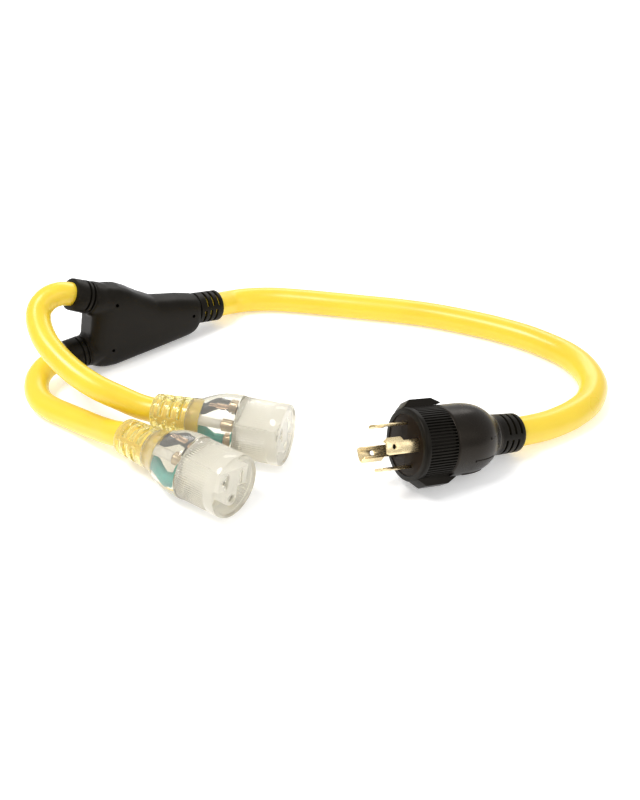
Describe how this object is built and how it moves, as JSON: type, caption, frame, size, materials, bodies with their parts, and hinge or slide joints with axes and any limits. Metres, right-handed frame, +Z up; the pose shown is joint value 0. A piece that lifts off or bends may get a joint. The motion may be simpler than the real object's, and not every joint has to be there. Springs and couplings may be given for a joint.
{
  "type": "power adapter cord set",
  "caption": "Y adapter cord: a black locking plug feeds a yellow cord, a black moulded splitter and two yellow branches that end in clear straight-blade connectors.",
  "frame": {"origin": "on the floor, under the middle of the box around the plug, splitter and connectors", "axes": "+Z up; +X along the longest extent, from the splitter's side towards the plug's side; +Y from the plug towards the splitter"},
  "size_m": [0.3915, 0.2684, 0.0734],
  "materials": {
    "cord_jacket": "smooth extruded vinyl, satin",
    "plug_moulding": "moulded, glossy",
    "plug_grip": "moulded, satin, ribbed",
    "plug_insert": "moulded, matt",
    "blade_brass": "bright, lightly brushed",
    "splitter_moulding": "moulded, satin",
    "premould": "moulded, matt",
    "crimp_metal": "plated, pressed",
    "clear_moulding": "clear moulded vinyl, glossy",
    "carrier_white": "moulded, glossy",
    "contact_brass": "pressed",
    "lamp_glass": "clear glass",
    "wire_green": "extruded",
    "wire_white": "extruded",
    "wire_red": "extruded",
    "wire_black": "extruded"
  },
  "bodies": {
    "root": {"main_cord": "cord_jacket", "branch_cord_far": "cord_jacket", "branch_cord_near": "cord_jacket", "plug_body": "plug_moulding", "plug_collar": "plug_grip", "plug_face": "plug_insert", "blade_ground": "blade_brass", "blade_neutral": "blade_brass", "blade_hot_x": "blade_brass", "blade_hot_y": "blade_brass", "plug_wire_ground": "wire_green", "plug_wire_neutral": "wire_white", "plug_wire_hot_x": "wire_black", "plug_wire_hot_y": "wire_red", "splitter_body": "splitter_moulding", "splitter_premould": "premould", "splice_hot_x": "crimp_metal", "splice_hot_y": "crimp_metal", "splice_neutral": "crimp_metal", "splice_ground": "crimp_metal", "trunk_wire_hot_x": "wire_black", "trunk_wire_hot_y": "wire_red", "trunk_wire_neutral": "wire_white", "trunk_wire_ground": "wire_green", "tail_wire_far_hot": "wire_black", "tail_wire_far_neutral": "wire_white", "tail_wire_far_ground": "wire_green", "tail_wire_near_hot": "wire_black", "tail_wire_near_neutral": "wire_white", "tail_wire_near_ground": "wire_green", "connector_far_shell": "clear_moulding", "connector_far_carrier": "carrier_white", "connector_far_contact_hot": "contact_brass", "connector_far_contact_neutral": "contact_brass", "connector_far_contact_ground": "contact_brass", "connector_far_wire_hot": "wire_black", "connector_far_wire_neutral": "wire_white", "connector_far_wire_ground": "wire_green", "connector_far_lamp": "lamp_glass", "connector_near_shell": "clear_moulding", "connector_near_carrier": "carrier_white", "connector_near_contact_hot": "contact_brass", "connector_near_contact_neutral": "contact_brass", "connector_near_contact_ground": "contact_brass", "connector_near_wire_hot": "wire_black", "connector_near_wire_neutral": "wire_white", "connector_near_wire_ground": "wire_green", "connector_near_lamp": "lamp_glass"}
  },
  "joints": []
}
